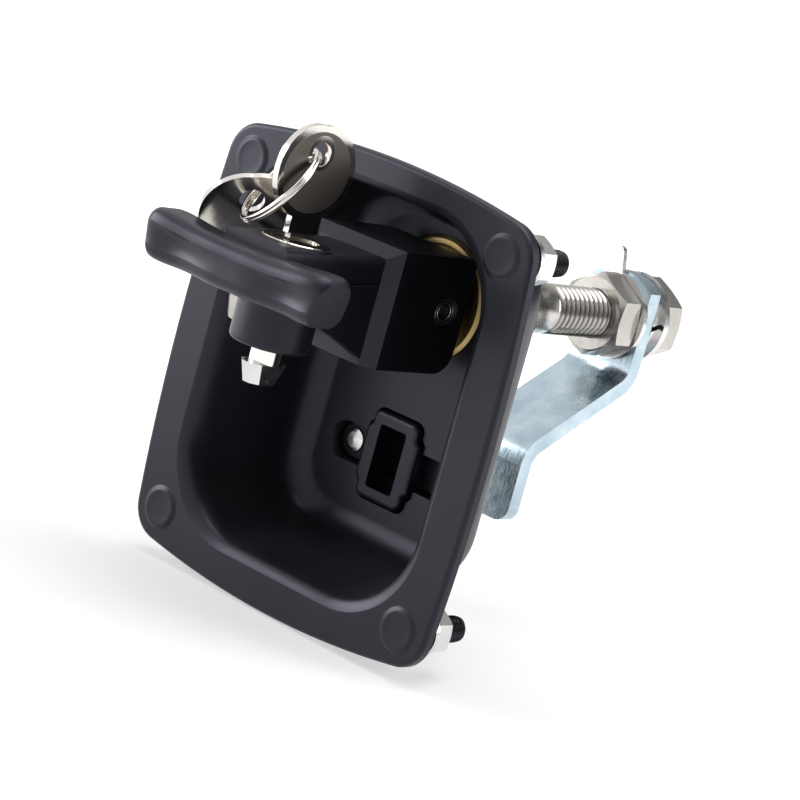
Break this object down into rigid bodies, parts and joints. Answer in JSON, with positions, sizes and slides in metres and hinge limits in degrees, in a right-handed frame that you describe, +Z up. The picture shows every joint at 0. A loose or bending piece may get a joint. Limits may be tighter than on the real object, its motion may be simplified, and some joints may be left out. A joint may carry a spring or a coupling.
{
  "type": "t-handle compression latch",
  "caption": "Recessed locking T-handle latch that turns a bent cam arm and draws it tight when the handle folds into its dish.",
  "frame": {"origin": "centre of the four-stud pattern, on the back face of the flange", "axes": "+Y into the door, along the spindle; +Z up; +X to the right of someone who faces the handle"},
  "size_m": [0.129, 0.1969, 0.1459],
  "materials": {
    "black_coat": "satin black coating with a bluish-grey sheen",
    "black_steel": "black oxide, slightly oily",
    "bright_steel": "bright turned steel",
    "spindle_steel": "turned steel, matte nickel",
    "nut_steel": "nickel-plated steel with fine marks",
    "bearing_bronze": "sintered bronze, dull",
    "seal_rubber": "matte",
    "brass": "turned brass, bright bevel",
    "dark_pin": "blackened pin with a bright worn rim",
    "nickel": "nickel plate, polished",
    "zinc_blue": "blue-white zinc plate with faint streaks"
  },
  "bodies": {
    "pan_body": {"pan": "black_coat", "spindle_hub": "black_coat", "keeper_housing": "black_coat", "mounting_studs": "black_steel", "stud_washers": "bright_steel", "stud_nuts": "bright_steel", "lock_keeper": "black_coat", "keeper_rivets": "bright_steel", "spindle_bush": "bearing_bronze", "spindle_seal": "seal_rubber"},
    "thrust_ring": {"thrust_washer": "brass"},
    "spindle_body": {"spindle": "spindle_steel", "back_washer": "bright_steel", "retaining_ring": "black_steel"},
    "arm_stack": {"cam_arm": "zinc_blue", "inner_nut": "nut_steel", "tab_washer": "bright_steel", "spring_washer": "bright_steel", "flat_washer": "bright_steel", "outer_nut": "nut_steel"},
    "handle": {"t_handle": "black_coat", "pivot_pin": "dark_pin", "lock_shell": "nickel"},
    "plug": {"lock_plug": "nickel", "tumbler_wafers": "brass", "lock_tongue": "bright_steel", "tongue_screw": "bright_steel"},
    "key_body": {"key": "nickel"},
    "ring_body": {"key_ring": "nickel", "spare_key": "nickel"}
  },
  "joints": [
    {"name": "spindle_turn", "type": "hinge", "parent": "pan_body", "child": "thrust_ring", "pos_m": [0, 0.033, 0.02984], "axis": [0, 1, 0], "range_deg": [-90, 0]},
    {"name": "spindle_draw", "type": "slide", "parent": "thrust_ring", "child": "spindle_body", "axis": [0, -1, 0], "range_m": [0, 0.0065]},
    {"name": "handle_fold", "type": "hinge", "parent": "spindle_body", "child": "handle", "pos_m": [0, 0.0195, 0.02984], "axis": [1, 0, 0], "range_deg": [0, 90]},
    {"name": "arm_adjust", "type": "slide", "parent": "spindle_body", "child": "arm_stack", "axis": [0, 1, 0], "range_m": [-0.022, 0]},
    {"name": "key_turn", "type": "hinge", "parent": "handle", "child": "plug", "pos_m": [0, -0.0305, 0], "axis": [0, 0, 1], "range_deg": [-90, 0]},
    {"name": "key_pull", "type": "slide", "parent": "plug", "child": "key_body", "axis": [0, 0, 1], "range_m": [0, 0.024]},
    {"name": "ring_swivel", "type": "hinge", "parent": "key_body", "child": "ring_body", "pos_m": [0, -0.0305, 0.06], "axis": [0, 0, 1], "range_deg": [0, 90]}
  ],
  "couplings": [
    {"joint": "spindle_draw", "follows": "handle_fold", "m_per_rad": 0.004138},
    {"joint": "ring_swivel", "follows": "key_turn", "ratio": -1}
  ]
}
